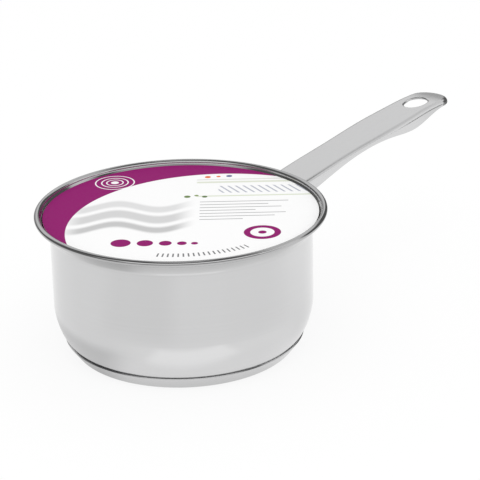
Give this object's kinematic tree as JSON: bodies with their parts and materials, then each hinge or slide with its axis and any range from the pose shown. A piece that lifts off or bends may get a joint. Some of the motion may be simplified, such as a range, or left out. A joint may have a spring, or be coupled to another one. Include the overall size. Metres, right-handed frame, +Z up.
{
  "type": "milk pan",
  "caption": "Small stainless steel milk pan with a curled pouring rim, an encapsulated base and a pressed channel handle with a hanging hole; a card disc lies in the rim and lifts out.",
  "frame": {"origin": "centre of the underside of the base, which rests on the hob", "axes": "+Z up along the pan's axis, +X along the handle, away from the pan"},
  "size_m": [0.3087, 0.157, 0.0868],
  "materials": {
    "polished_steel": "bright polish outside, satin inside",
    "aluminium_disc": "plain",
    "base_steel": "turned polish",
    "bracket_steel": "pressed, satin",
    "handle_steel": "bright polish on top, satin underneath",
    "weld_metal": "dull spot weld",
    "printed_card": null
  },
  "bodies": {
    "pan": {"pan_body": "polished_steel", "heat_spreader_disc": "aluminium_disc", "base_cap": "base_steel", "handle_bracket": "bracket_steel", "bracket_welds": "weld_metal", "handle_shell": "handle_steel", "handle_welds": "weld_metal"},
    "card": {"card_insert": "printed_card"}
  },
  "joints": [
    {"name": "card_lift", "type": "slide", "parent": "pan", "child": "card", "axis": [0, 0, 1], "range_m": [0, 0.1]}
  ]
}
